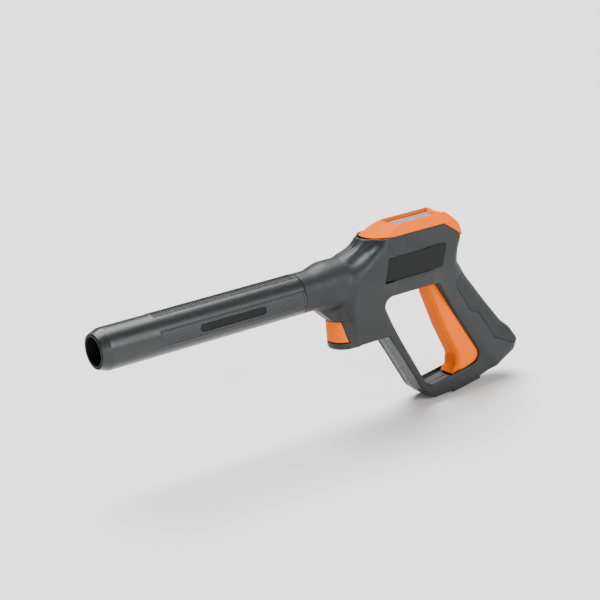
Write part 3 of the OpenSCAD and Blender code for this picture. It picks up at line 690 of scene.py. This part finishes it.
MATERIALS = {name: material(name, *finish, **more) for name, finish, more in (
    ("charcoal_plastic", ((0.014, 0.0146, 0.0156), 0.46, 1500, 0.45), {"specular": 0.32}),
    ("inlay_plastic", ((0.004, 0.0042, 0.0045), 0.55, 900, 0.5), {"specular": 0.2}),
    ("orange_plastic", ((0.88, 0.145, 0.0), 0.5, 1500, 0.3), {"shade": 0.04, "specular": 0.02}),
    ("grip_rubber", ((0.016, 0.0165, 0.0172), 0.6, 700, 0.6), {"specular": 0.3}),
    ("seal_rubber", ((0.015, 0.015, 0.016), 0.5, 900, 0.3), {}),
    ("brass_parts", ((0.68, 0.46, 0.19), 0.3, 1400, 0.3), {"metallic": 1}),
    ("steel_parts", ((0.55, 0.56, 0.58), 0.32, 1400, 0.3), {"metallic": 1}),
    ("display_lens", ((0.93, 0.95, 0.97), 0.08, 900, 0.02), {"gloss_spread": 0.03}),
    ("display_panel", ((0.5, 0.53, 0.56), 0.3, 900, 0.1), {}),
    ("circuit_board", ((0.02, 0.12, 0.05), 0.35, 900, 0.2), {}),
)}


def print_bars(made):
    """Adds plain pale and dark bars along the display, each colour set by its place on a ramp."""
    tree = made.node_tree
    shader = tree.nodes["Principled BSDF"]
    coords = tree.nodes["Texture Coordinate"]
    bars = tree.nodes.new("ShaderNodeTexWave")
    bars.bands_direction = "Y"
    bars.inputs["Scale"].default_value = 50
    bars.inputs["Distortion"].default_value = 0
    link(tree, coords, "Object", bars, "Vector")
    ramp = tree.nodes.new("ShaderNodeValToRGB")
    stops = ((0.25, (0.2, 0.24, 0.3, 1)), (0.4, (0.78, 0.8, 0.83, 1)))
    for element, (position, colour) in zip(ramp.color_ramp.elements, stops):
        element.position = position
        element.color = colour
    link(tree, bars, "Fac", ramp, "Fac")
    link(tree, ramp, "Color", shader, "Base Color")


def make_clear(made):
    """Turns a finish into clear plastic."""
    made.node_tree.nodes["Principled BSDF"].inputs["Transmission Weight"].default_value = 0.92


BARREL_FINISH = material("barrel_plastic", (0.012, 0.0125, 0.0134), 0.34, 1500, 0.3, specular=0.42)
# Finish of the ribbed panels: the charcoal plastic painted lighter, a painted highlight that offsets the
# shade the ribs cast on each other.
RIBBED_LIGHTENED_FINISH = material("knurled_plastic_painted_light", (0.034, 0.035, 0.037), 0.42, 1500, 0.3, specular=0.45)
print_bars(MATERIALS["display_panel"])
make_clear(MATERIALS["display_lens"])


def finish_piece(piece, body, slot, *nodes, variant=None):
    """Gives a new piece its slot's finish or a variant of it and its body, and hides the CAD nodes it
    replaces.
    """
    piece.data.materials.append(variant or MATERIALS[slot])
    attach(piece, body)
    if nodes:
        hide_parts(*nodes)


# ---- mouldings --------------------------------------------------------------

def make_mouldings():
    """Makes the pieces that take the place of plainer CAD nodes, and the lips beside the button."""
    left, right = ((-458, 0, -137), (-205, 26, 38)), ((-458, -26, -137), (-205, 1, 38))
    shell = moulded("housing_left_shell", housing(1), *left)
    finish_piece(shell, "gun", "charcoal_plastic", "housing_left")
    shell = moulded("housing_right_shell", housing(-1), *right)
    finish_piece(shell, "gun", "charcoal_plastic", "housing_right")
    cover = moulded("top_cover_shell", cover_form, (-390, -26, 18), (-281, 26, 45), FINE_STEP)
    finish_piece(cover, "gun", "orange_plastic", "top_cover")
    bow = moulded("trigger_bow", trigger_form, (-410, -13, -122), (-344, 13, 5), FINE_STEP)
    finish_piece(bow, "trigger", "orange_plastic", "trigger")
    cap = moulded("release_button_cap", button_form, (-256, -17, -56), (-239, 17, -32), FINEST_STEP)
    finish_piece(cap, "hose_release", "orange_plastic", "release_button")
    sleeve = moulded("grip_rubber_sleeve", insert_form, (-458, -24, -108), (-374, 24, -8), FINE_STEP)
    finish_piece(sleeve, "gun", "grip_rubber", "grip_insert")
    finish_piece(make_sleeve(), "gun", "charcoal_plastic", "barrel_sleeve", variant=BARREL_FINISH)
    for word, side in (("left", 1), ("right", -1)):
        finish_piece(button_lip("button_lip_" + word, side), "gun", "charcoal_plastic")
        # The ribbed panels take the lighter copy of the charcoal plastic, painted light over the ribs' own
        # shade.
        finish_piece(make_ribbed_panel("knurled_panel_" + word, side), "gun", "charcoal_plastic",
                     "barrel_panel_" + word, variant=RIBBED_LIGHTENED_FINISH)


def paint_nodes():
    """Gives each CAD node that stays its own finish."""
    slots = {s["node"]: s["material_slot"] for s in frame["record"]["subparts"]}
    for name, node in frame["nodes"].items():
        for slot in node.material_slots:
            slot.material = MATERIALS[slots[name]]


# ---- studio -----------------------------------------------------------------

# Strengths of the sky, of the two suns and of the soft box in front.
WORLD, SUN_TOP, SUN_SIDE, FRONT = 0.25, 7.0, 2.5, 5
GUN_MIDDLE = (-0.22, 0, -0.03)
FLOOR_REACH, FLOOR_LEVEL = 12, -0.1372

# The camera: the direction from the gun back to it, its roll, its place and its lens.
AZIMUTH, ELEVATION, ROLL = math.radians(33.47), math.radians(17.11), math.radians(-5.05)
CAMERA_PLACE = (0.6532, 1.3088, 0.4764)
LENS, SENSOR = 109.05, 36


def level_axes(back):
    """The level axis to the right and the axis up, for something that looks away from back."""
    right = np.cross((0, 0, 1), back)
    right /= np.linalg.norm(right)
    return right, np.cross(back, right)


def stand(made, right, up, back, place):
    """Turns an object's own axes to the given ones and puts it at a place."""
    matrix = Matrix.Identity(4)
    for column, values in enumerate((right, up, back, place)):
        for row in range(3):
            matrix[row][column] = values[row]
    made.matrix_world = matrix


def camera():
    """Looks down on the gun's left side from the front."""
    back = np.array([math.sin(AZIMUTH) * math.cos(ELEVATION), math.cos(AZIMUTH) * math.cos(ELEVATION),
                     math.sin(ELEVATION)])
    right, up = level_axes(back)
    turned_right = math.cos(ROLL) * right + math.sin(ROLL) * up
    turned_up = math.cos(ROLL) * up - math.sin(ROLL) * right
    data = bpy.data.cameras.new("camera")
    data.lens = LENS
    data.sensor_width = SENSOR
    made = add_object("camera", data)
    stand(made, turned_right, turned_up, back, CAMERA_PLACE)
    bpy.context.scene.camera = made


def area_light(name, place, target, size, power):
    """A soft box at a place, turned to a target."""
    data = bpy.data.lights.new(name, "AREA")
    data.shape = "RECTANGLE"
    data.size, data.size_y = size
    data.energy = power
    back = np.array(place) - np.array(target)
    back = back / np.linalg.norm(back)
    stand(add_object(name, data), *level_axes(back), back, place)


def sun(name, towards, spread_degrees, strength):
    """A broad, far light that lies in a direction as seen from the gun."""
    data = bpy.data.lights.new(name, "SUN")
    data.angle = math.radians(spread_degrees)
    data.energy = strength
    made = add_object(name, data)
    made.rotation_euler = Vector(towards).to_track_quat("Z", "Y").to_euler()


def studio():
    """A pale floor under a dim sky, with two broad suns and a soft box that gives the barrel its bands."""
    world = bpy.data.worlds.new("studio")
    world.use_nodes = True
    world.node_tree.nodes["Background"].inputs["Color"].default_value = (1, 1, 1, 1)
    world.node_tree.nodes["Background"].inputs["Strength"].default_value = WORLD
    bpy.context.scene.world = world
    mesh = bpy.data.meshes.new("floor")
    corners = [(x * FLOOR_REACH, y * FLOOR_REACH, FLOOR_LEVEL)
               for x, y in ((-1, -1), (1, -1), (1, 1), (-1, 1))]
    mesh.from_pydata(corners, [], [(0, 1, 2, 3)])
    floor = add_object("floor", mesh)
    floor.data.materials.append(material("floor_paper", (0.92, 0.92, 0.92), 0.8, 300, 0.05, shade=0.01))
    sun("overhead", (-0.3, -0.8, 1.9), 50, SUN_TOP)
    sun("side", (-0.6, 1.9, 0.9), 35, SUN_SIDE)
    area_light("front", (0.35, 1.5, 0.28), GUN_MIDDLE, (0.9, 0.35), FRONT)


# ---- build ------------------------------------------------------------------

camera()
studio()
paint_nodes()
make_mouldings()
